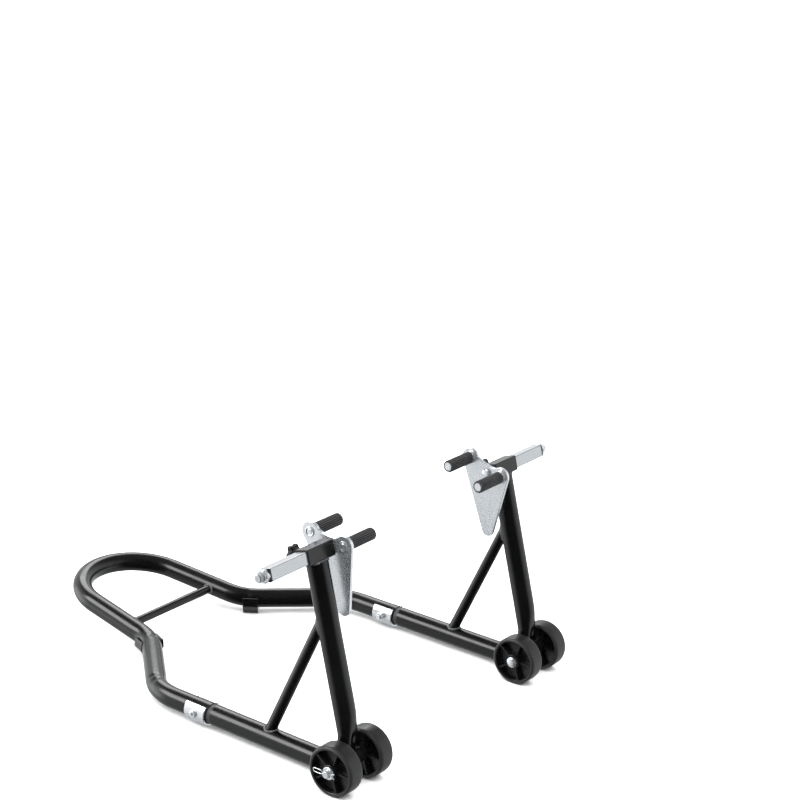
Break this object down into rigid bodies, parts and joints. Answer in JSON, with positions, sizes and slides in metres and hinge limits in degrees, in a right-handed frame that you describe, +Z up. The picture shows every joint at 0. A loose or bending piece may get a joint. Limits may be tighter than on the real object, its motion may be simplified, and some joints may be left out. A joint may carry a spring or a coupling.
{
  "type": "paddock stand",
  "caption": "Motorcycle front paddock stand: bent round tube, handle loop, low rollers at the heels, sliding heads with swinging pin plates.",
  "frame": {"origin": "bottom centre of the bounding box, on the floor", "axes": "+Z up, +Y from the wheels towards the handle loop, X across the stand with the left side at -X"},
  "size_m": [0.7542, 0.8168, 0.3854],
  "materials": {
    "powder_coat": "semi-gloss black powder coat",
    "zinc_plate": "bright zinc plate",
    "rubber": "matte ribbed rubber",
    "wheel_plastic": "satin moulded plastic",
    "knob_plastic": "satin moulded plastic"
  },
  "bodies": {
    "frame": {"handle_loop": "powder_coat", "cross_brace": "powder_coat", "side_frame_left": "powder_coat", "side_brace_left": "powder_coat", "foot_left": "powder_coat", "joint_sleeve_left": "rubber", "saddle_left": "zinc_plate", "saddle_bolt_left": "zinc_plate", "saddle_nut_left": "zinc_plate", "axle_left": "zinc_plate", "split_pin_left": "zinc_plate", "axle_bush_left": "powder_coat", "axle_washer_left": "zinc_plate", "receiver_left": "powder_coat", "clamp_boss_left": "powder_coat", "side_frame_right": "powder_coat", "side_brace_right": "powder_coat", "foot_right": "powder_coat", "joint_sleeve_right": "rubber", "saddle_right": "zinc_plate", "saddle_bolt_right": "zinc_plate", "saddle_nut_right": "zinc_plate", "axle_right": "zinc_plate", "split_pin_right": "zinc_plate", "axle_bush_right": "powder_coat", "axle_washer_right": "zinc_plate", "receiver_right": "powder_coat", "clamp_boss_right": "powder_coat"},
    "wheel_outer_left": {"wheel_outer_left": "wheel_plastic"},
    "wheel_inner_left": {"wheel_inner_left": "wheel_plastic"},
    "slide_left": {"slide_left": "zinc_plate", "slide_cap_left": "knob_plastic", "pivot_bolt_left": "zinc_plate", "pivot_nut_left": "zinc_plate"},
    "pin_plate_left": {"pin_plate_left": "zinc_plate", "lift_pin_front_left": "zinc_plate", "lift_pin_rear_left": "zinc_plate", "pin_sleeve_front_left": "rubber", "pin_sleeve_rear_left": "rubber"},
    "knob_left": {"star_knob_left": "knob_plastic", "knob_stud_left": "zinc_plate"},
    "wheel_outer_right": {"wheel_outer_right": "wheel_plastic"},
    "wheel_inner_right": {"wheel_inner_right": "wheel_plastic"},
    "slide_right": {"slide_right": "zinc_plate", "slide_cap_right": "knob_plastic", "pivot_bolt_right": "zinc_plate", "pivot_nut_right": "zinc_plate"},
    "pin_plate_right": {"pin_plate_right": "zinc_plate", "lift_pin_front_right": "zinc_plate", "lift_pin_rear_right": "zinc_plate", "pin_sleeve_front_right": "rubber", "pin_sleeve_rear_right": "rubber"},
    "knob_right": {"star_knob_right": "knob_plastic", "knob_stud_right": "zinc_plate"}
  },
  "joints": [
    {"name": "wheel_outer_left_spin", "type": "hinge", "parent": "frame", "child": "wheel_outer_left", "pos_m": [-0.2835, -0.36842, 0.04], "axis": [1, 0, 0], "continuous": true},
    {"name": "wheel_inner_left_spin", "type": "hinge", "parent": "frame", "child": "wheel_inner_left", "pos_m": [-0.2085, -0.36842, 0.04], "axis": [1, 0, 0], "continuous": true},
    {"name": "slide_left_width", "type": "slide", "parent": "frame", "child": "slide_left", "axis": [1, 0, 0], "range_m": [-0.002, 0.07]},
    {"name": "pin_plate_left_swing", "type": "hinge", "parent": "slide_left", "child": "pin_plate_left", "pos_m": [-0.208, -0.28901, 0.34957], "axis": [1, 0, 0], "continuous": true},
    {"name": "knob_left_turn", "type": "hinge", "parent": "frame", "child": "knob_left", "pos_m": [-0.251, -0.26054, 0.34184], "axis": [0, 0.965, -0.2622], "range_deg": [0, 720]},
    {"name": "wheel_outer_right_spin", "type": "hinge", "parent": "frame", "child": "wheel_outer_right", "pos_m": [0.2835, -0.36842, 0.04], "axis": [1, 0, 0], "continuous": true},
    {"name": "wheel_inner_right_spin", "type": "hinge", "parent": "frame", "child": "wheel_inner_right", "pos_m": [0.2085, -0.36842, 0.04], "axis": [1, 0, 0], "continuous": true},
    {"name": "slide_right_width", "type": "slide", "parent": "frame", "child": "slide_right", "axis": [-1, 0, 0], "range_m": [-0.002, 0.07]},
    {"name": "pin_plate_right_swing", "type": "hinge", "parent": "slide_right", "child": "pin_plate_right", "pos_m": [0.208, -0.28901, 0.34957], "axis": [1, 0, 0], "continuous": true},
    {"name": "knob_right_turn", "type": "hinge", "parent": "frame", "child": "knob_right", "pos_m": [0.251, -0.26054, 0.34184], "axis": [0, 0.965, -0.2622], "range_deg": [0, 720]}
  ]
}
